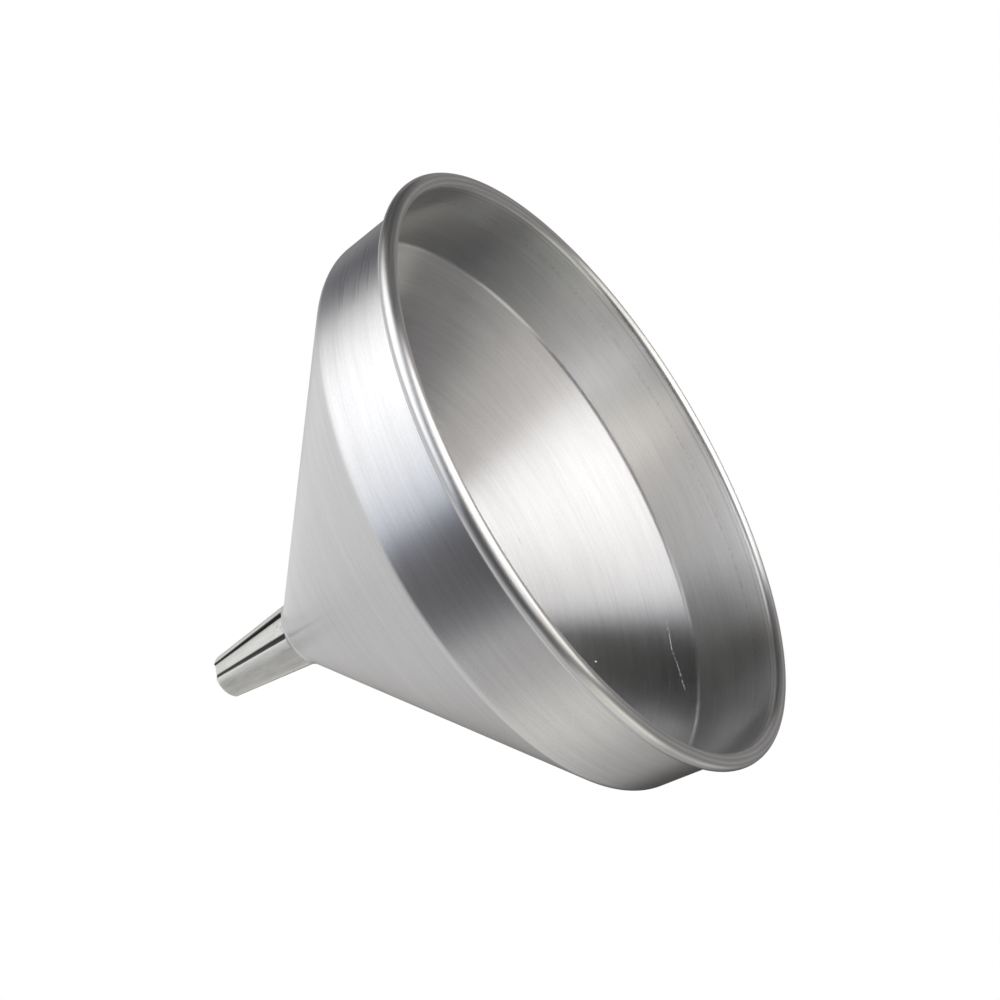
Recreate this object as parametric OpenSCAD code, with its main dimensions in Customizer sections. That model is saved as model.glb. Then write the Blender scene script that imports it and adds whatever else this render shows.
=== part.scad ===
// Sheet-metal funnel: a spun bowl with a wired rim, and a fluted spout brazed into its mouth.
// The axis is Z. The origin is on the axis where the spout leaves the cone, and the mouth faces +Z.

/* [Rim and collar] */
// Outside diameter across the rolled rim
rim_d = 165; // [140:1:200]
// Height of the collar, from the crease to the top of the rim
collar_h = 25.5; // [15:0.5:40]
// Outward lean of the collar, in degrees from upright
collar_draft = 3; // [0:0.5:6]
// Diameter of the wire inside the rim
wire_d = 2; // [1.4:0.1:3]
// Gap all round the wire, under the sheet rolled over it
wire_clear = 0.1; // [0.05:0.05:0.3]
// Seam left between the curled edge and the collar
curl_gap = 0.35; // [0.2:0.05:0.8]

/* [Cone] */
// Thickness of the bowl's sheet
sheet_t = 1; // [0.8:0.1:1.4]
// Height of the cone, from the spout's root to the crease
cone_h = 77.5; // [55:0.5:110]
// Outside radius of the crease between cone and collar
crease_r = 3.5; // [3:0.5:12]

/* [Spout] */
// Outside diameter where the spout leaves the cone
root_d = 19.5; // [16:0.5:26]
// Outside diameter at the tip
tip_d = 13; // [11:0.5:16]
// Length of the spout below the cone
spout_l = 30.5; // [20:0.5:60]
// Thickness of the spout's wall
spout_t = 1; // [0.7:0.1:1.3]
// Outside radius of the bend where the spout opens out inside the cone
flare_r = 0.6; // [0.4:0.1:1]
// Length of the flare that lines the cone
flare_l = 5; // [3:0.5:10]
// Rounding of the tip's outside edge
tip_round = 0.4; // [0.2:0.1:0.6]

/* [Flutes] */
// Number of pressed flutes round the spout
flute_count = 3; // [2:1:4]
// Width of a flute across its two shoulders, at the cone
flute_head_w = 8.2; // [4:0.1:9]
// The same width at the tip
flute_tip_w = 4.5; // [2.5:0.1:5]
// Depth of a flute's floor below the round wall, at the cone
flute_head_d = 1.8; // [1:0.1:2]
// The same depth at the tip
flute_tip_d = 0.8; // [0.4:0.1:1]
// Slant of a flute's steep side and of its head, in degrees from the radial direction
flute_steep = 35; // [20:5:45]
// Slant of its easy side, which the press leaves as a ramp
flute_ramp = 65; // [45:5:70]
// Distance from the cone to the head of a flute
flute_start = 0.7; // [0.5:0.1:3]

/* [Braze] */
// Braze film between the flare and the cone
braze_gap = 0.1; // [0.05:0.05:0.2]
// Gap between the spout and the edge of the cone's mouth
mouth_gap = 0.15; // [0.1:0.05:0.3]
// Radius of the fillet that closes the joint outside
fillet_r = 1.8; // [1:0.1:3]
// Width of the bead that closes the flare's edge inside
inner_bead_w = 0.9; // [0.5:0.1:1.5]

/* [Hidden] */
$fn = 96;
arc_step = 7.5;

// A station is [radius, height, heading]; the heading is the way the sheet runs, in degrees from +r.
function right(h) = [cos(h - 90), sin(h - 90)];
function ahead(h) = [cos(h), sin(h)];
function place(s) = [s[0], s[1]];
function beside(s, d) = place(s) + d * right(s[2]);

// Stations along an arc that starts at p, turning by a (left is positive) on radius r
function arc(p, h, r, a) =
    let (n = ceil(abs(a) / arc_step), side = a > 0 ? -1 : 1, c = p + side * r * right(h))
    [for (i = [0 : n]) let (q = c - side * r * right(h + a * i / n)) [q[0], q[1], h + a * i / n]];

// Closed outline of a sheet that reaches from d0 to d1 on the right of its stations
function sheet(path, d0, d1) = concat(
    [for (s = path) beside(s, d1)],
    [for (i = [len(path) - 1 : -1 : 0]) beside(path[i], d0)]);

root_r = root_d / 2;
tip_r = tip_d / 2;
rim_top = cone_h + collar_h;

// Rim bead: the bowl's sheet rolled outward over the wire
wire_r = wire_d / 2;
hollow_r = wire_r + wire_clear;
bead_r = hollow_r + sheet_t;
bead_c = [rim_d / 2 - bead_r, rim_top - bead_r];
collar_head = 90 - collar_draft;
collar_top = bead_c - hollow_r * right(collar_head);
curl_turn = 270 + asin((hollow_r - curl_gap) / bead_r) + collar_draft;

// Cone: its outside runs from the spout's root to the crease's corner
corner = [collar_top[0] - (collar_top[1] - cone_h) * tan(collar_draft), cone_h];
cone_half = atan((corner[0] - root_r) / cone_h);
cone_head = 90 - cone_half;
crease_turn = collar_head - cone_head;
crease_start = corner - crease_r * tan(crease_turn / 2) * ahead(cone_head);

// Spout: its taper, and the bend at the top where its wall opens out along the cone's inside
spout_taper = atan((root_r - tip_r) / spout_l);
spout_head = 90 - spout_taper;
flare_turn = spout_head - cone_head;
flare_off = (sheet_t + braze_gap) / cos(cone_half);
flare_z = flare_off / (tan(cone_half) - tan(spout_taper));
flare_corner = [root_r + flare_z * tan(spout_taper), flare_z];
bend_start = flare_corner - flare_r * tan(flare_turn / 2) * ahead(spout_head);
bend = arc(bend_start, spout_head, flare_r, -flare_turn);
bend_end = place(bend[len(bend) - 1]);
flare_end = bend_end + flare_l * ahead(cone_head);
flare_top = flare_end - [spout_t / cos(cone_half), 0];

// The cone's mouth is cut upright, clear of the spout's wall
mouth_r = flare_corner[0] + mouth_gap;
mouth_low = [mouth_r, (mouth_r - root_r) / tan(cone_half)];
mouth_high = [mouth_r, mouth_low[1] + sheet_t / sin(cone_half)];

// The sheet's outside line, from the top of the cone to the curled edge
bowl_path = concat(
    arc(crease_start, cone_head, crease_r, crease_turn),
    arc(collar_top, collar_head, hollow_r, -curl_turn));

module bowl() {
    color([0.78, 0.78, 0.79])
    rotate_extrude()
    polygon(concat([mouth_low], [for (s = bowl_path) place(s)],
        [for (i = [len(bowl_path) - 1 : -1 : 0]) beside(bowl_path[i], -sheet_t)], [mouth_high]));
}

module rim_wire() {
    color([0.66, 0.67, 0.68])
    rotate_extrude() translate(bead_c) circle(wire_r);
}

// Outside of the spout, from the axis at the tip to the end of the flare
tip_arc = arc([tip_r - tip_round, -spout_l], 0, tip_round, spout_head);
spout_out = concat([for (s = tip_arc) place(s)], [for (s = bend) place(s)], [flare_end]);

// Inside of the spout, at the wall's thickness from the outside
bore_tip = [tip_r - spout_t / cos(spout_taper), -spout_l];
spout_in = concat([bore_tip], [for (s = bend) beside(s, -spout_t)], [flare_top]);

// Flutes are pressed wedges whose floor and side walls are flat
flute_head_z = -flute_start;
flute_overrun = 2;
crown = 3;

// Radius of the round wall, half width of the shoulders and depth of the floor at height z
function wall_r(z) = root_r + z * tan(spout_taper);
function along(z) = (flute_head_z - z) / (spout_l - flute_start);
function shoulder_w(z) = (flute_head_w + (flute_tip_w - flute_head_w) * along(z)) / 2;
function floor_r(z) = wall_r(z) - flute_head_d - (flute_tip_d - flute_head_d) * along(z);

// How far a side is from the middle at radius x and height z: it leans out from floor to shoulder
function shoulder_r(z) = sqrt(pow(wall_r(z), 2) - pow(shoulder_w(z), 2));
function side_y(x, z, slant, grow) =
    shoulder_w(z) + (x - shoulder_r(z)) * tan(slant) + grow / cos(slant);

// One wedge; grow moves its floor, walls and head out by that much
module flute_wedge(grow) {
    low_z = -spout_l - flute_overrun;
    head_z = flute_head_z + grow;
    floor_z = head_z - flute_head_d * tan(flute_steep);
    floor_low = floor_r(low_z) - grow;
    floor_high = floor_r(floor_z) - grow;
    top_low = wall_r(low_z) + crown;
    top_high = wall_r(head_z) + crown;
    top_z = head_z + crown * tan(flute_steep);
    ends = [[floor_low, low_z], [floor_high, floor_z], [top_high, top_z], [top_low, low_z]];
    polyhedron(
        concat([for (e = ends) [e[0], -side_y(e[0], e[1], flute_steep, grow), e[1]]],
            [for (e = ends) [e[0], side_y(e[0], e[1], flute_ramp, grow), e[1]]]),
        [[0, 1, 2, 3], [7, 6, 5, 4], [0, 4, 5, 1], [1, 5, 6, 2], [2, 6, 7, 3], [3, 7, 4, 0]]);
}

module flutes(grow) {
    for (i = [0 : flute_count - 1])
        rotate(i * 360 / flute_count) flute_wedge(grow);
}

module spout() {
    color([0.82, 0.82, 0.81])
    difference() {
        rotate_extrude()
        polygon(concat([[0, -spout_l]], spout_out, [[0, flare_end[1]]]));
        flutes(0);
        difference() {
            rotate_extrude()
            polygon(concat([[0, -spout_l - 1], [bore_tip[0], -spout_l - 1]], spout_in,
                [[flare_top[0], flare_top[1] + 1], [0, flare_top[1] + 1]]));
            flutes(spout_t);
        }
    }
}

// Braze: an outside fillet, the filled gap at the mouth, the film behind the flare, an inside bead
fillet_turn = cone_half - spout_taper;
fillet_reach = fillet_r * tan(fillet_turn / 2);
fillet_start = [root_r, 0] - fillet_reach * ahead(spout_head);
fillet = arc(fillet_start, spout_head, fillet_r, -fillet_turn);
film_end = flare_end + braze_gap * right(cone_head);
bead_end = film_end + inner_bead_w * ahead(cone_head);

module braze_joint() {
    color([0.72, 0.71, 0.68])
    rotate_extrude()
    polygon(concat([for (s = fillet) place(s)],
        [mouth_low, mouth_high, bead_end, flare_top, flare_end],
        [for (i = [len(bend) - 1 : -1 : 0]) place(bend[i])]));
}

bowl();
rim_wire();
spout();
braze_joint();
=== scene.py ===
import bpy
from math import radians, cos, sin, tan, atan, atan2, asin, acos, hypot, sqrt, pi
from mathutils import Matrix, Vector


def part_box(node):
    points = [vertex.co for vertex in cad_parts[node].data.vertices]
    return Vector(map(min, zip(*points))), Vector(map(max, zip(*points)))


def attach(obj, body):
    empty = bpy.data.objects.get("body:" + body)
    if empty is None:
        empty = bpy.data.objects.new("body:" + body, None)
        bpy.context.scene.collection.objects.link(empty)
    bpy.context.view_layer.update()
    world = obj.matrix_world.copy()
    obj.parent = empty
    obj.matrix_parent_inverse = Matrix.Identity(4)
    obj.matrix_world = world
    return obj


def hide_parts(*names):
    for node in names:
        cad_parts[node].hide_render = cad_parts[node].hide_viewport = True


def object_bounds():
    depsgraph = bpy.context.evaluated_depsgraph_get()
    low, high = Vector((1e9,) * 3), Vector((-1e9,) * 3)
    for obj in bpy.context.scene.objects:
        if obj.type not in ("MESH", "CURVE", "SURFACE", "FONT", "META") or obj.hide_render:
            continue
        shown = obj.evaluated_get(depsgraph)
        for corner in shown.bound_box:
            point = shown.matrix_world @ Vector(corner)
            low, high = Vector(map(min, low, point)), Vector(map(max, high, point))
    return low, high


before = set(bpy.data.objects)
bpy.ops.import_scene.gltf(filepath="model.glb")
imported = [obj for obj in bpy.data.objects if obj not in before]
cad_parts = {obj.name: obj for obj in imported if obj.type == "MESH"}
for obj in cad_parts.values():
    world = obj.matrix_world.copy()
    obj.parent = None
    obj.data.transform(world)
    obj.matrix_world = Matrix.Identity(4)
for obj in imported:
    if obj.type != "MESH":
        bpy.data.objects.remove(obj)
cadLow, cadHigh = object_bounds()
rimRadius = cadHigh.x
rimTop = cadHigh.z
tipHeight = cadLow.z
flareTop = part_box("spout")[1].z
print("frame loaded:", sorted(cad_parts))

# Profiles are drawn in the XZ plane as (radius, height); a heading is an angle in that plane.


def rightOf(heading):
    return Vector((cos(heading - pi / 2), sin(heading - pi / 2)))


def aheadOf(heading):
    return Vector((cos(heading), sin(heading)))


def arcPoints(start, heading, radius, turn, steps):
    # sets off from start along heading and bends left by turn, or right if turn is negative
    side = -1 if turn > 0 else 1
    centre = start + side * radius * rightOf(heading)
    return [centre - side * radius * rightOf(heading + turn * i / steps) for i in range(steps + 1)]


def linePoints(start, end, steps):
    return [start.lerp(end, i / steps) for i in range(steps + 1)]


def easeInOut(share):
    share = min(max(share, 0), 1)
    return share * share * (3 - 2 * share)


mergeDistance = 1e-6


def pickOnly(piece):
    if bpy.context.object and bpy.context.object.mode != "OBJECT":
        bpy.ops.object.mode_set(mode="OBJECT")
    bpy.ops.object.select_all(action="DESELECT")
    if piece:
        piece.select_set(True)
        bpy.context.view_layer.objects.active = piece


def editAll(piece):
    pickOnly(piece)
    bpy.ops.object.mode_set(mode="EDIT")
    bpy.ops.mesh.select_all(action="SELECT")


def spinProfile(name, profile, turns, closed=False):
    # a single vertex is extruded along the profile, and the line is spun round the axis
    pickOnly(None)
    bpy.ops.mesh.primitive_plane_add(size=.001)
    piece = bpy.context.object
    piece.name = piece.data.name = name
    editAll(piece)
    bpy.ops.mesh.merge(type="CENTER")
    bpy.ops.transform.translate(value=(profile[0].x, 0, profile[0].y))
    for here, there in zip(profile, profile[1:]):
        step = (there.x - here.x, 0, there.y - here.y)
        bpy.ops.mesh.extrude_region_move(TRANSFORM_OT_translate={"value": step})
    bpy.ops.mesh.select_all(action="SELECT")
    if closed:
        bpy.ops.mesh.remove_doubles(threshold=mergeDistance)
    bpy.ops.mesh.spin(steps=turns, angle=2 * pi, center=(0, 0, 0), axis=(0, 0, 1))
    bpy.ops.mesh.select_all(action="SELECT")
    bpy.ops.mesh.remove_doubles(threshold=mergeDistance)
    bpy.ops.mesh.normals_make_consistent(inside=False)
    bpy.ops.object.mode_set(mode="OBJECT")
    return piece


def turnInsideOut(piece):
    editAll(piece)
    bpy.ops.mesh.flip_normals()
    bpy.ops.object.mode_set(mode="OBJECT")


def shadeSmooth(piece, angle):
    pickOnly(piece)
    bpy.ops.object.shade_smooth_by_angle(angle=angle)


# Outside radius where the spout leaves the cone.
rootRadius = .00975

# The bowl: cone, crease, collar and the rim rolled over its wire, all spun from one sheet.
bowlShape = {
    "sheet": .001,
    "collarHeight": .0255,
    "collarLean": radians(3),
    "creaseRadius": .0035,
    "beadHollow": .0011,
    "curlGap": .00035,
    "mouthGap": .00035,
    "turns": 288,
    "steps": {"cone": 16, "crease": 14, "collar": 8, "curl": 48},
    "smoothUnder": radians(40),
}
sheet = bowlShape["sheet"]
collarLean = bowlShape["collarLean"]
beadHollow = bowlShape["beadHollow"]
beadRadius = beadHollow + sheet
collarHead = pi / 2 - collarLean
beadCentre = Vector((rimRadius - beadRadius, rimTop - beadRadius))
collarTop = beadCentre - beadHollow * rightOf(collarHead)
creaseHeight = rimTop - bowlShape["collarHeight"]
creaseCorner = Vector((collarTop.x - (collarTop.y - creaseHeight) * tan(collarLean), creaseHeight))
coneHalf = atan((creaseCorner.x - rootRadius) / creaseHeight)
coneHead = pi / 2 - coneHalf


def makeBowl():
    steps = bowlShape["steps"]
    mouthGap = bowlShape["mouthGap"]
    creaseRadius = bowlShape["creaseRadius"]
    mouth = Vector((rootRadius + mouthGap, mouthGap / tan(coneHalf)))
    creaseTurn = collarHead - coneHead
    creaseStart = creaseCorner - creaseRadius * tan(creaseTurn / 2) * aheadOf(coneHead)
    crease = arcPoints(creaseStart, coneHead, creaseRadius, creaseTurn, steps["crease"])
    curlTurn = 1.5 * pi + asin((beadHollow - bowlShape["curlGap"]) / beadRadius) + collarLean
    profile = linePoints(mouth, creaseStart, steps["cone"])[:-1] + crease
    profile += linePoints(crease[-1], collarTop, steps["collar"])[1:-1]
    profile += arcPoints(collarTop, collarHead, beadHollow, -curlTurn, steps["curl"])
    bowl = spinProfile("bowl_shell", profile, bowlShape["turns"])
    lowest = min(bowl.data.polygons, key=lambda face: face.center.z)
    if lowest.normal.z > 0:
        turnInsideOut(bowl)
    wall = bowl.modifiers.new("wall", "SOLIDIFY")
    wall.thickness = sheet
    wall.offset = -1
    wall.use_even_offset = True
    pickOnly(bowl)
    bpy.ops.object.modifier_apply(modifier=wall.name)
    shadeSmooth(bowl, bowlShape["smoothUnder"])
    return bowl


bowl = makeBowl()
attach(bowl, "root")
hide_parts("bowl")
print("bowl spun:", len(bowl.data.polygons), "faces")

# The spout: a tapered tube, flared against the cone, with flutes pressed into it.
spoutShape = {
    "tipRadius": .0065,
    "wall": .001,
    "flareBend": .0006,
    "brazeFilm": .0001,
    "tipRound": .0004,
    "flutes": 3,
    "columns": 24,
    "fluteStart": .0007,
    "fluteRun": .0009,
    "headWidth": .0082,
    "tipWidth": .0045,
    "headDepth": .0018,
    "tipDepth": .0008,
    # a side's shade is the span across the flute where the finish paints shade
    "steepSide": {"slant": radians(35), "round": .0004, "shade": (.33, .70)},
    "easySide": {"slant": radians(65), "round": .001, "shade": (.15, .54)},
    "floorRound": .0003,
    "leastRound": .00005,
    "steps": {"tip": 5, "length": 20, "head": 20, "bend": 6},
    "headZone": .003,
    "smoothUnder": radians(50),
}
# Across a flute, from the middle of its floor (0) to the middle of a land (1), each part ends at its share.
fluteParts = {"floor": .25, "corner": .42, "side": .5, "shoulder": .67}
# The finish has its own bands across a flute: where each begins and ends, and how softly. Shade is painted in
# the side and lip bands, a highlight in the shoulder band.
fluteBands = {
    "side": {"soft": (.05, .05)},
    "shoulder": {"span": (.52, .86), "soft": (.06, .18)},
    "lipShade": {"end": .5, "soft": .06},
    "floor": {"end": .3, "soft": .1},
}
spoutLength = -tipHeight
spoutWall = spoutShape["wall"]
spoutTaper = atan((rootRadius - spoutShape["tipRadius"]) / spoutLength)
spoutHead = pi / 2 - spoutTaper
fluteStart = spoutShape["fluteStart"]


def wallRadius(height):
    return rootRadius + height * tan(spoutTaper)


def alongFlute(height, head, tip):
    return head + (tip - head) * (-height - fluteStart) / (spoutLength - fluteStart)


def roundedCorner(before, corner, after, share):
    return before.lerp(corner, share).lerp(corner.lerp(after, share), share)


def bandOf(share, span, soft):
    low, high = span
    return easeInOut((share - low) / soft[0]) * easeInOut((high - share) / soft[1])


def fluteSection(share, height, inset, flank):
    # a point of the cross-section at this share of the way from a flute's middle to a land's
    height = min(height, -fluteStart)
    outer = wallRadius(height)
    halfWidth = alongFlute(height, spoutShape["headWidth"], spoutShape["tipWidth"]) / 2
    depth = alongFlute(height, spoutShape["headDepth"], spoutShape["tipDepth"])
    shoulderX = sqrt(outer ** 2 - halfWidth ** 2)
    radius = outer - inset
    floorX = outer - depth - inset
    slant = flank["slant"]

    def sideY(x):
        return halfWidth + (x - shoulderX) * tan(slant) + inset / cos(slant)

    # the side meets the round wall where x settles; half steps keep the easy side from swinging
    topX = shoulderX - inset
    for settling in range(12):
        topX = (topX + sqrt(radius ** 2 - sideY(topX) ** 2)) / 2
    floorCorner = Vector((floorX, sideY(floorX)))
    shoulder = Vector((topX, sideY(topX)))
    side = (shoulder - floorCorner).normalized()
    length = (shoulder - floorCorner).length
    shoulderAngle = atan2(shoulder.y, shoulder.x)
    landWay = Vector((-sin(shoulderAngle), cos(shoulderAngle)))
    # the two roundings may take up most of the side, but never all of it
    floorReach = min((spoutShape["floorRound"] + inset) * tan(acos(side.y) / 2), .55 * length)
    shoulderRound = max(flank["round"] - inset, spoutShape["leastRound"])
    shoulderReach = min(shoulderRound * tan(acos(side.dot(landWay)) / 2), .4 * length)
    floorEnd = floorCorner - Vector((0, floorReach))
    sideStart = floorCorner + side * floorReach
    sideEnd = shoulder - side * shoulderReach
    landStart = shoulderAngle + shoulderReach / radius
    floorTo, cornerTo, sideTo, shoulderTo = fluteParts.values()
    if share <= floorTo:
        return Vector((floorX, 0)).lerp(floorEnd, share / floorTo)
    if share <= cornerTo:
        return roundedCorner(floorEnd, floorCorner, sideStart, (share - floorTo) / (cornerTo - floorTo))
    if share <= sideTo:
        return sideStart.lerp(sideEnd, (share - cornerTo) / (sideTo - cornerTo))
    if share <= shoulderTo:
        rounded = (share - sideTo) / (shoulderTo - sideTo)
        return roundedCorner(sideEnd, shoulder, radius * aheadOf(landStart), rounded)
    land = (share - shoulderTo) / (1 - shoulderTo)
    return radius * aheadOf(landStart + (pi / spoutShape["flutes"] - landStart) * land)


def pressFlutes(spout):
    # also records where shade is painted in the flutes' sides and heads, where their floors are, and where a
    # highlight is painted on their shoulders, for the finish
    sector = 2 * pi / spoutShape["flutes"]
    attributes = spout.data.attributes
    fluteShadeValues = attributes.new("paintedFluteShade", "FLOAT", "POINT").data
    floors = attributes.new("fluteFloor", "FLOAT", "POINT").data
    shoulderHighlights = attributes.new("paintedShoulderHighlight", "FLOAT", "POINT").data
    lipBand = fluteBands["lipShade"]
    floorBand = fluteBands["floor"]
    for vertex in spout.data.vertices:
        height = vertex.co.z
        radius = hypot(vertex.co.x, vertex.co.y)
        angle = atan2(vertex.co.y, vertex.co.x)
        middle = round(angle / sector) * sector
        share = min(abs(angle - middle) / (sector / 2), 1)
        flank = spoutShape["easySide"] if angle > middle else spoutShape["steepSide"]
        outer = fluteSection(share, height, 0, flank)
        inner = fluteSection(share, height, spoutWall, flank)
        through = min(max((wallRadius(height) - radius) / spoutWall, 0), 1)
        turned = atan2(outer.y, outer.x) * (1 - through) + atan2(inner.y, inner.x) * through
        pressed = outer.length * (1 - through) + inner.length * through
        amount = easeInOut((-fluteStart - height) / spoutShape["fluteRun"])
        radius += (pressed - radius) * amount
        turned = middle + turned if angle > middle else middle - turned
        vertex.co.x = radius * cos(turned)
        vertex.co.y = radius * sin(turned)
        # painted shade along the flute's head, highest halfway into the press
        lipShade = 4 * amount * (1 - amount) * easeInOut((lipBand["end"] - share) / lipBand["soft"])
        # painted shade in the flute's side, which the finish takes nearly to black
        side = amount * bandOf(share, flank["shade"], fluteBands["side"]["soft"])
        fluteShadeValues[vertex.index].value = max(side, lipShade) * (1 - through)
        floors[vertex.index].value = amount * easeInOut((floorBand["end"] - share) / floorBand["soft"])
        # a painted highlight along the flute's shoulders
        shoulderHighlights[vertex.index].value = amount * bandOf(share, **fluteBands["shoulder"])


def makeSpout():
    steps = spoutShape["steps"]
    flareTurn = spoutHead - coneHead
    # the flare's outside lies along the cone's inside, with the braze film between them
    lining = (sheet + spoutShape["brazeFilm"]) / cos(coneHalf)
    flareHeight = lining / (tan(coneHalf) - tan(spoutTaper))
    flareCorner = Vector((wallRadius(flareHeight), flareHeight))
    bendRadius = spoutShape["flareBend"]
    bendStart = flareCorner - bendRadius * tan(flareTurn / 2) * aheadOf(spoutHead)
    tipStart = Vector((spoutShape["tipRadius"] - spoutShape["tipRound"], tipHeight))
    root = Vector((wallRadius(0), 0))
    headEnd = Vector((wallRadius(-spoutShape["headZone"]), -spoutShape["headZone"]))
    across = Vector((spoutWall / cos(spoutTaper), 0))
    outside = arcPoints(tipStart, 0, spoutShape["tipRound"], spoutHead, steps["tip"])
    outside += linePoints(outside[-1], headEnd, steps["length"])[1:]
    outside += linePoints(headEnd, root, steps["head"])[1:]
    outside += arcPoints(bendStart, spoutHead, bendRadius, -flareTurn, steps["bend"])
    flareEnd = outside[-1] + (flareTop - outside[-1].y) / cos(coneHalf) * aheadOf(coneHead)
    inside = [flareEnd, flareEnd - Vector((spoutWall / cos(coneHalf), 0))]
    innerStart = bendStart - spoutWall * rightOf(spoutHead)
    inside += arcPoints(innerStart, spoutHead, bendRadius + spoutWall, -flareTurn, steps["bend"])[::-1]
    inside += linePoints(root - across, headEnd - across, steps["head"])
    innerTip = Vector((spoutShape["tipRadius"], tipHeight)) - across
    inside += linePoints(headEnd - across, innerTip, steps["length"])[1:]
    profile = outside + inside + [tipStart.copy()]
    turns = 2 * spoutShape["columns"] * spoutShape["flutes"]
    spout = spinProfile("spout_pressed", profile, turns, closed=True)
    widest = max(spout.data.polygons, key=lambda face: hypot(face.center.x, face.center.y))
    if widest.normal.x * widest.center.x + widest.normal.y * widest.center.y < 0:
        turnInsideOut(spout)
    pressFlutes(spout)
    shadeSmooth(spout, spoutShape["smoothUnder"])
    return spout


spout = makeSpout()
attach(spout, "root")
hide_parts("spout")
print("spout pressed:", len(spout.data.polygons), "faces")


class Wire:
    # an output socket; arithmetic on wires adds Math nodes to the tree it belongs to
    def __init__(self, tree, socket):
        self.tree = tree
        self.socket = socket

    def node(self, kind, settings, sockets, output=0):
        # a node of any kind: its settings first, then the values or links of its sockets
        made = self.tree.nodes.new(kind)
        for name, value in settings.items():
            setattr(made, name, value)
        for name, value in sockets.items():
            if isinstance(value, Wire):
                self.tree.links.new(value.socket, made.inputs[name])
            else:
                made.inputs[name].default_value = value
        return Wire(self.tree, made.outputs[output])

    def math(self, operation, *values):
        return self.node("ShaderNodeMath", {"operation": operation}, dict(enumerate(values)))

    def __add__(self, other):
        return self.math("ADD", self, other)

    def __radd__(self, other):
        return self.math("ADD", other, self)

    def __sub__(self, other):
        return self.math("SUBTRACT", self, other)

    def __rsub__(self, other):
        return self.math("SUBTRACT", other, self)

    def __mul__(self, other):
        return self.math("MULTIPLY", self, other)

    def __rmul__(self, other):
        return self.math("MULTIPLY", other, self)

    def __truediv__(self, other):
        return self.math("DIVIDE", self, other)

    def __pow__(self, other):
        return self.math("POWER", self, other)

    def __abs__(self):
        return self.math("ABSOLUTE", self)

    def split(self):
        return [self.node("ShaderNodeSeparateXYZ", {}, {0: self}, axis) for axis in range(3)]

    def ramp(self, low, high):
        # 0 up to low, 1 from high on, and a soft rise between them
        sockets = {"Value": self, "From Min": low, "From Max": high}
        return self.node("ShaderNodeMapRange", {"interpolation_type": "SMOOTHSTEP"}, sockets)

    def fade(self, low, high):
        return 1 - self.ramp(low, high)

    def noise(self, scale, detail=2, rough=.5):
        stretched = self.node("ShaderNodeMapping", {}, {"Vector": self, "Scale": scale})
        sockets = {"Vector": stretched, "Scale": 1, "Detail": detail, "Roughness": rough}
        return self.node("ShaderNodeTexNoise", {}, sockets)

    def tint(self, dark, light):
        # a colour between two colours, picked by this value
        settings = {"data_type": "RGBA"}
        return self.node("ShaderNodeMix", settings, {0: self, 6: (*dark, 1), 7: (*light, 1)}, 2)

    def blend(self, other, share):
        # this colour where share is 0, the other where it is 1
        return self.node("ShaderNodeMix", {"data_type": "RGBA"}, {0: share, 6: self, 7: (*other, 1)}, 2)

    def sineBand(self):
        return self.math("SINE", self * (2 * pi)) * .5 + .5

    def distanceTo(self, point):
        return self.node("ShaderNodeVectorMath", {"operation": "DISTANCE"}, {0: self, 1: point}, "Value")

    def attribute(self, name):
        return self.node("ShaderNodeAttribute", {"attribute_name": name}, {}, "Fac")

    def bump(self, distance):
        return self.node("ShaderNodeBump", {}, {"Height": self, "Strength": 1, "Distance": distance})


def startMaterial(name, fixed):
    material = bpy.data.materials.new(name)
    material.use_nodes = True
    tree = material.node_tree
    shader = tree.nodes["Principled BSDF"]
    for socket, value in fixed.items():
        shader.inputs[socket].default_value = value
    place = Wire(tree, tree.nodes.new("ShaderNodeTexCoord").outputs["Object"])
    return material, shader, place


def connect(shader, wires):
    for socket, wire in wires.items():
        wire.tree.links.new(wire.socket, shader.inputs[socket])


# Spun aluminium: brushed round the axis and burnished on the rolled rim, with a highlight painted along the
# crease's inside and a shadow painted under the bead.
# Tones run from 0, dark, to 1, light; grains shift them both ways and marks one way.
spunFinish = {
    "dark": (.62, .62, .62),
    "light": (.94, .94, .94),
    "grainTone": {"brush": .95, "wave": .3, "cloud": .2, "speckle": .35},
    "markTone": {
        # the crease's tone is a painted highlight along its inside
        "crease": .4, "arc": .4, "dent": .6, "tick": -.5,
        # the seam's tone is a painted shadow under the bead
        "streaks": -.9, "ring": -.35, "seam": -1.2,
    },
    "rollTone": .7,
    "beadShade": .22,
    "roughness": .30,
    "brushSpread": .05,
    "cloudSpread": .04,
    "hazeSpread": .1,
    "beadRoughness": .28,
    "haze": {"scratch": .14, "arc": 1, "dent": 1, "scuffs": .36, "bead": .2},
    "metalLoss": .60,
    "wave": .000012,
}
# Scales are in cycles a metre, so the brushed grains are long round the axis and fine along it.
spunGrains = {
    "hair": {"scale": (70, 70, 6000), "rough": .6},
    "stroke": {"scale": (45, 45, 1500)},
    "wave": {"scale": (9, 9, 420)},
    "cloud": {"scale": (28, 28, 28), "detail": 3, "rough": .55},
    "broken": {"scale": (700, 700, 700), "rough": .6},
    "pits": {"scale": (1300, 1300, 1300), "detail": 1},
    "hatch": {"scale": (420, 420, 1100), "detail": 3, "rough": .65},
    "scratch": {"scale": (26, 26, 5200), "detail": 1, "rough": .4},
    "speckle": {"scale": (2000, 2000, 2600), "detail": 1},
}
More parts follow.
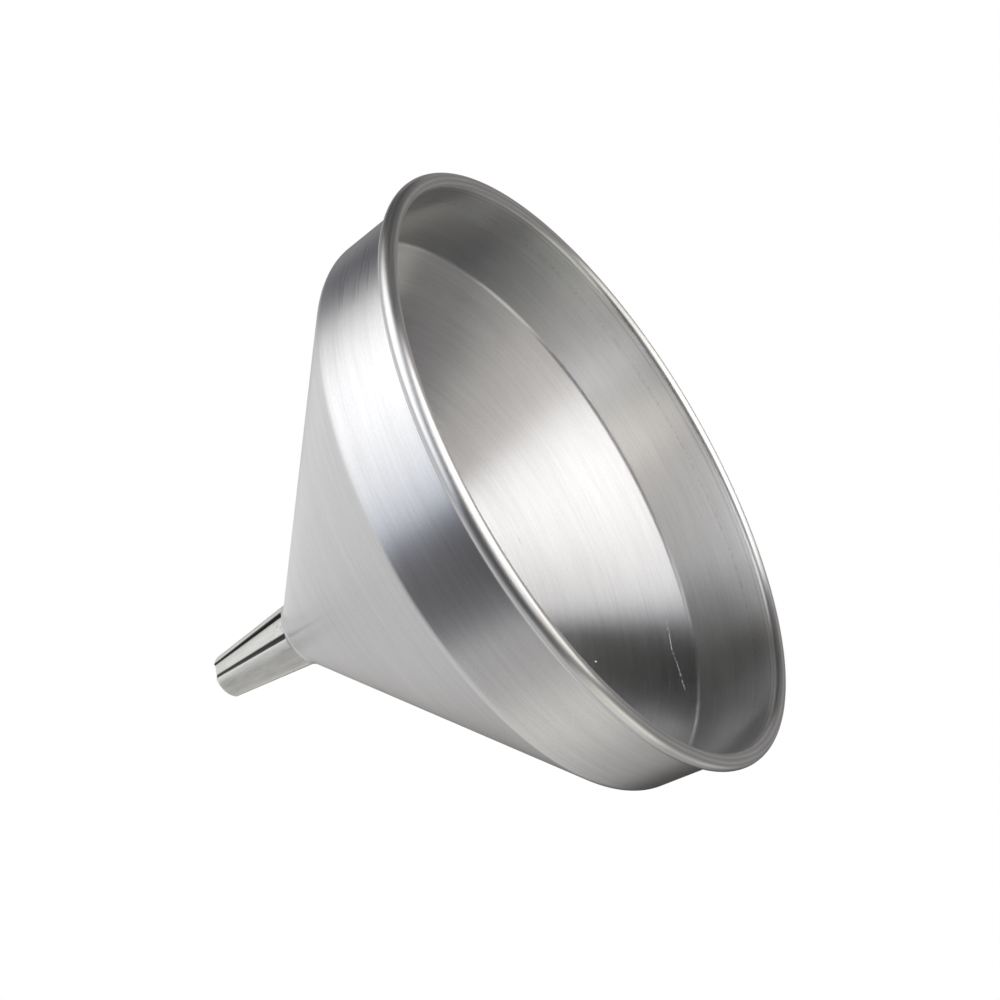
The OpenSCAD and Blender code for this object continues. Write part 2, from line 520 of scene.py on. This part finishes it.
# Wear that this bowl has picked up: azimuths in degrees, heights and sizes in metres.
wear = {
    "speck": {"azimuth": 155, "height": .0564, "radius": .00035},
    "arc": {
        "azimuth": (148, 168), "height": .0728, "climb": .00018, "climbFrom": 160,
        "halfWidth": .00013, "edge": 1.5, "stray": .0006,
    },
    "tick": {"azimuth": -158.5, "height": .047, "reach": 1.6, "halfWidth": .0001, "edge": 1.5},
    "dimples": {"azimuth": 155, "reach": 9, "height": (.064, .076)},
    "scuffs": {"azimuth": 172, "reach": 14, "height": (.0935, .101)},
    "streaks": {"azimuth": -26, "reach": 12, "height": (.084, .097)},
    "ring": {"height": .0957, "halfWidth": .0003, "edge": 1.6, "stray": .0012},
}


def spunAluminium():
    fixed = {"Anisotropic": .9, "Anisotropic Rotation": .25}
    material, shader, place = startMaterial("spun aluminium", fixed)
    finish = spunFinish
    x, y, height = place.split()
    radius = (x * x + y * y) ** .5
    grains = {name: place.noise(**grain) for name, grain in spunGrains.items()}
    cloud = grains["cloud"]
    stroke = grains["stroke"]
    broken = grains["broken"]
    brush = grains["hair"] * .6 + stroke * .4

    def degreesFrom(azimuth):
        c = cos(radians(azimuth))
        s = sin(radians(azimuth))
        return x.math("ARCTAN2", y * c - x * s, x * c + y * s) * (180 / pi)

    def patch(spot):
        low, high = spot["height"]
        away = abs(degreesFrom(spot["azimuth"]))
        soft = (high - low) * .3
        band = height.ramp(low - soft, low + soft) * height.fade(high - soft, high + soft)
        return away.fade(spot["reach"] * .4, spot["reach"]) * band

    def thinLine(distance, line):
        return abs(distance).fade(line["halfWidth"] * .5, line["halfWidth"] * line["edge"])

    # how far a point lies inside the outer face of the sheet
    coneLine = rootRadius + height * tan(coneHalf)
    collarLine = creaseCorner.x + (height - creaseHeight) * tan(collarLean)
    inside = (coneLine.math("MINIMUM", coneLine, collarLine) - radius).ramp(sheet * .4, sheet * .7)

    # the rolled bead, its roll lines, a painted shadow along the seam below it and a painted highlight along
    # the crease
    across = radius - beadCentre.x
    above = height - beadCentre.y
    bead = ((across * across + above * above) ** .5).fade(beadRadius + .0001, beadRadius + .0006)
    rollLine = (above.math("ARCTAN2", above, across) * 1.7 + cloud * .5).sineBand()
    seamLow = rimTop - 2 * beadRadius
    # a painted shadow along the seam just under the bead
    seam = bead.fade(.2, .9) * height.ramp(seamLow - .0002, seamLow + .0003) * (1 - inside)
    # a painted highlight, a thin lighter line along the inside of the crease
    crease = abs(height - creaseHeight - .0002).fade(.0001, .0006) * inside

    speck = wear["speck"]
    speckRadius = rootRadius + speck["height"] * tan(coneHalf) - sheet / cos(coneHalf)
    speckAt = (*(speckRadius * aheadOf(radians(speck["azimuth"]))), speck["height"])
    dent = place.distanceTo(speckAt).fade(speck["radius"] * .6, speck["radius"] * 1.2)

    # a scratch that climbs as it goes round, and fades out at both ends
    arc = wear["arc"]
    azimuth = degreesFrom(0)
    beyond = arc["climbFrom"] - azimuth
    arcHeight = arc["height"] + beyond.math("MAXIMUM", beyond, 0) * arc["climb"]
    arcFrom, arcTo = arc["azimuth"]
    arcEnds = azimuth.ramp(arcFrom - 1, arcFrom + 1) * azimuth.fade(arcTo - 3, arcTo + 3)
    arcLine = thinLine(height - arcHeight + (broken - .5) * arc["stray"], arc)
    arcLine = arcLine * arcEnds * inside * broken.ramp(.38, .52)

    tick = wear["tick"]
    tickEnds = abs(degreesFrom(tick["azimuth"])).fade(tick["reach"] * .3, tick["reach"])
    tickLine = thinLine(height - tick["height"], tick) * tickEnds * inside
    dimples = patch(wear["dimples"]) * inside * grains["pits"].ramp(.56, .70)
    scuffs = patch(wear["scuffs"]) * inside * grains["hatch"].ramp(.44, .62)
    streaks = patch(wear["streaks"]) * (1 - inside) * stroke.ramp(.50, .66)
    ring = wear["ring"]
    ringLine = thinLine(height - ring["height"] + (cloud - .5) * ring["stray"], ring)
    ringLine = ringLine * inside * broken.ramp(.40, .62)

    shifting = {"brush": brush, "wave": grains["wave"], "cloud": cloud, "speckle": grains["speckle"]}
    marks = {
        "crease": crease, "arc": arcLine, "dent": dent, "tick": tickLine,
        "streaks": streaks, "ring": ringLine, "seam": seam,
    }
    tone = .5 + ((rollLine - .5) * finish["rollTone"] - finish["beadShade"]) * bead
    for name, wire in shifting.items():
        tone = tone + (wire - .5) * finish["grainTone"][name]
    for name, wire in marks.items():
        tone = tone + wire * finish["markTone"][name]

    hazy = {
        "scratch": grains["scratch"].ramp(.58, .74), "arc": arcLine, "dent": dent,
        "scuffs": scuffs, "bead": bead,
    }
    haze = sum(wire * finish["haze"][name] for name, wire in hazy.items())
    haze = haze.math("MINIMUM", haze, 1)
    rough = finish["roughness"] + (brush - .5) * finish["brushSpread"]
    rough = rough + (cloud - .5) * finish["cloudSpread"] + haze * finish["hazeSpread"]
    rough = rough + (finish["beadRoughness"] - rough) * bead
    ripple = (grains["wave"] * .7 + stroke * .3) * (1 - bead) - dimples * .5 - dent * 6
    connect(shader, {
        "Base Color": tone.tint(finish["dark"], finish["light"]),
        "Metallic": 1 - haze * finish["metalLoss"],
        "Roughness": rough,
        "Normal": ripple.bump(finish["wave"]),
    })
    return material


# Pressed aluminium: drawn lengthwise and bright on the flutes' floors, with shade painted nearly black in
# their sides and at their heads, and a highlight painted on their shoulders.
pressedFinish = {
    "dark": (.52, .52, .49),
    "light": (1, 1, .95),
    "shade": (.02, .02, .02),
    "tone": .28,
    "drawTone": 1.1,
    "cloudTone": .4,
    "floorLift": .6,
    "shoulderHighlightLift": .7,
    "markShade": .7,
    "sideShade": .97,
    "metallic": .8,
    "roughness": .42,
    "drawSpread": .12,
    "cloudSpread": .06,
    "marked": (-.0095, -.003),
    "draw": .000005,
}
pressedGrains = {
    "fine": {"scale": (3600, 3600, 60), "rough": .6},
    "broad": {"scale": (900, 900, 45)},
    "cloud": {"scale": (120, 120, 120), "detail": 3, "rough": .55},
    "mark": {"scale": (900, 900, 1600), "rough": .6},
}


def pressedAluminium():
    finish = pressedFinish
    fixed = {"Metallic": finish["metallic"], "Anisotropic": .7, "Anisotropic Rotation": 0}
    material, shader, place = startMaterial("pressed aluminium", fixed)
    grains = {name: place.noise(**grain) for name, grain in pressedGrains.items()}
    floor = place.attribute("fluteFloor")
    height = place.split()[2]
    cloud = grains["cloud"] - .5
    marks = grains["mark"].ramp(.54, .64) * floor * height.ramp(*finish["marked"])
    draw = grains["fine"] * .5 + grains["broad"] * .5
    tone = finish["tone"] + (draw - .5) * finish["drawTone"] + cloud * finish["cloudTone"]
    tone = tone + floor * finish["floorLift"] - marks * finish["markShade"]
    # a highlight painted along the flutes' shoulders
    tone = tone + place.attribute("paintedShoulderHighlight") * finish["shoulderHighlightLift"]
    tone = tone.math("MINIMUM", tone, 1)
    metal = tone.tint(finish["dark"], finish["light"])
    # painted shade, nearly black, in the flutes' sides and at their heads
    shaded = place.attribute("paintedFluteShade") * finish["sideShade"]
    rough = finish["roughness"] + (draw - .5) * finish["drawSpread"] + cloud * finish["cloudSpread"]
    connect(shader, {
        "Base Color": metal.blend(finish["shade"], shaded),
        "Roughness": rough,
        "Normal": (draw - marks * 2).bump(finish["draw"]),
    })
    return material


# Braze: the thin bright fillet between spout and bowl, a little uneven.
brazeFinish = {
    "dark": (.62, .62, .64),
    "light": (.84, .84, .87),
    "roughness": .34,
    "lumpSpread": .2,
    "height": .00003,
}


def brazeMetal():
    finish = brazeFinish
    material, shader, place = startMaterial("braze metal", {"Metallic": 1})
    grain = place.noise((1500, 1500, 1500), 3, .6)
    lump = place.noise((350, 350, 350), 2, .5)
    connect(shader, {
        "Base Color": (grain * .6 + lump * .4).tint(finish["dark"], finish["light"]),
        "Roughness": finish["roughness"] + (lump - .5) * finish["lumpSpread"],
        "Normal": (grain * .3 + lump * .7).bump(finish["height"]),
    })
    return material


# Rim wire: drawn aluminium wire, with its draw marks running round the rim.
wireFinish = {"dark": (.50, .50, .51), "light": (.72, .72, .73), "roughness": .30, "markSpread": .15}


def drawnWire():
    finish = wireFinish
    material, shader, place = startMaterial("drawn wire", {"Metallic": 1})
    mark = place.noise((60, 60, 9000), 2, .6)
    cloud = place.noise((200, 200, 200), 3, .55)
    connect(shader, {
        "Base Color": (mark * .6 + cloud * .4).tint(finish["dark"], finish["light"]),
        "Roughness": finish["roughness"] + (mark - .5) * finish["markSpread"],
    })
    return material


bowl.data.materials.append(spunAluminium())
spout.data.materials.append(pressedAluminium())
for node, finish in (("braze_joint", brazeMetal()), ("rim_wire", drawnWire())):
    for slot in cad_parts[node].material_slots:
        slot.material = finish
print("materials assigned:", len(bpy.data.materials))

# The camera looks down into the mouth from one side, rolled so that the funnel lies over.
# Its values come from a fit.
cameraView = {
    "azimuth": radians(31),
    "distance": .3503,
    "height": .2340,
    "turn": radians(.695),
    "elevation": radians(24.95),
    "roll": radians(59.54),
    "lens": 54.03,
}


def placeCamera():
    view = cameraView
    camera = bpy.data.objects.new("camera", bpy.data.cameras.new("camera"))
    bpy.context.scene.collection.objects.link(camera)
    bpy.context.scene.camera = camera
    camera.data.lens = view["lens"]
    camera.data.clip_start = .01
    camera.data.clip_end = 100
    stand = (*(view["distance"] * aheadOf(view["azimuth"])), view["height"])
    camera.matrix_world = (
        Matrix.Translation(stand)
        @ Matrix.Rotation(view["azimuth"] + view["turn"] + pi / 2, 4, "Z")
        @ Matrix.Rotation(pi / 2 - view["elevation"], 4, "X")
        @ Matrix.Rotation(view["roll"], 4, "Z"))


# The floor is plain white paper that glows evenly, so no edge or shadow crosses it.
paperFloor = {"radius": 20, "corners": 96, "below": .0002}


def layFloor():
    level = tipHeight - paperFloor["below"]
    pickOnly(None)
    bpy.ops.mesh.primitive_circle_add(
        vertices=paperFloor["corners"], radius=paperFloor["radius"], fill_type="NGON", location=(0, 0, level))
    floor = bpy.context.object
    floor.name = "floor"
    paper = bpy.data.materials.new("white paper")
    paper.use_nodes = True
    glow = paper.node_tree.nodes["Principled BSDF"]
    glow.inputs["Base Color"].default_value = (0, 0, 0, 1)
    glow.inputs["Specular IOR Level"].default_value = 0
    glow.inputs["Emission Color"].default_value = (1, 1, 1, 1)
    glow.inputs["Emission Strength"].default_value = 1
    floor.data.materials.append(paper)
    floor.visible_glossy = False
    floor.visible_diffuse = False
    floor.visible_shadow = False


# The studio: soft panels of light, and black cards, whose strength is negative. A panel has its azimuth
# and elevation in degrees, half width, half height, strength and tint. These values come from a fit, and
# were rounded and then adjusted.
white = (1, 1, 1)
warm = (1.04, 1, .90)
straw = (1, 1.01, .90)
cool = (.98, 1, 1.04)
sky = (.35, .90, 1.75)
studio = {
    "walls": (.22, .21, .21),
    "below": (.51, .51, .51),
    "belowEdge": (.2, .8),
    "ceiling": (1.30, 1.25, 1.19),
    "ceilingEdge": (.82, .86),
    "panels": {
        "keyBox": (-25, -5, .70, .45, 1.70, cool),
        "keyEdge": (-50, -5, .60, .25, .70, warm),
        "mouthStrip": (-5, 70, .90, .20, 1.40, cool),
        "mouthFar": (-140, 70, .25, .40, .90, warm),
        "fillBox": (105, 5, .40, .45, .85, straw),
        "fillEdge": (140, 0, .40, .15, .55, straw),
        "skyPatch": (10, -30, .25, .25, .10, sky),
        "sideCard": (-85, 25, .50, .45, -2.50, white),
        "sideCardLow": (-90, -15, .30, .45, -.25, warm),
        "cameraCard": (30, 35, .80, .45, -1.25, white),
        "cameraCardLow": (40, -15, .35, .60, -.80, warm),
        "backCard": (-170, -35, .40, .40, -.60, white),
    },
    "panelFront": (-.05, .05),
    "darkest": .015,
}


def lightStudio():
    world = bpy.data.worlds.new("studio")
    bpy.context.scene.world = world
    world.use_nodes = True
    tree = world.node_tree
    way = Wire(tree, tree.nodes.new("ShaderNodeTexCoord").outputs["Generated"])
    up = way.split()[2]

    def along(direction):
        sockets = {0: way, 1: tuple(direction)}
        return way.node("ShaderNodeVectorMath", {"operation": "DOT_PRODUCT"}, sockets, "Value")

    def lit(mask, colour, already):
        sockets = {0: mask, 1: colour, 2: already}
        return way.node("ShaderNodeVectorMath", {"operation": "MULTIPLY_ADD"}, sockets)

    light = lit((0 - up).ramp(*studio["belowEdge"]), studio["below"], studio["walls"])
    light = lit(up.ramp(*studio["ceilingEdge"]), studio["ceiling"], light)
    for azimuth, elevation, halfWidth, halfHeight, strength, tint in studio["panels"].values():
        turn = Matrix.Rotation(radians(azimuth), 3, "Z") @ Matrix.Rotation(radians(-elevation), 3, "Y")
        across = along(turn.col[1]) / halfWidth
        upward = along(turn.col[2]) / halfHeight
        spread = across * across + upward * upward
        # even over the panel, with a quick soft edge, and nothing on the side away from it
        glow = spread.math("EXPONENT", 0 - spread * spread * spread)
        front = along(turn.col[0]).ramp(*studio["panelFront"])
        light = lit(glow * front * strength, tint, light)
    darkest = [studio["darkest"]] * 3
    light = way.node("ShaderNodeVectorMath", {"operation": "MAXIMUM"}, {0: light, 1: darkest})
    seen = Wire(tree, tree.nodes.new("ShaderNodeLightPath").outputs["Is Camera Ray"])
    backdrop = way.node("ShaderNodeMix", {"data_type": "RGBA"}, {0: seen, 6: light, 7: (1, 1, 1, 1)}, 2)
    tree.links.new(backdrop.socket, tree.nodes["Background"].inputs["Color"])


placeCamera()
layFloor()
lightStudio()
bpy.context.scene.view_settings.view_transform = "Standard"
print("camera, floor and light placed")
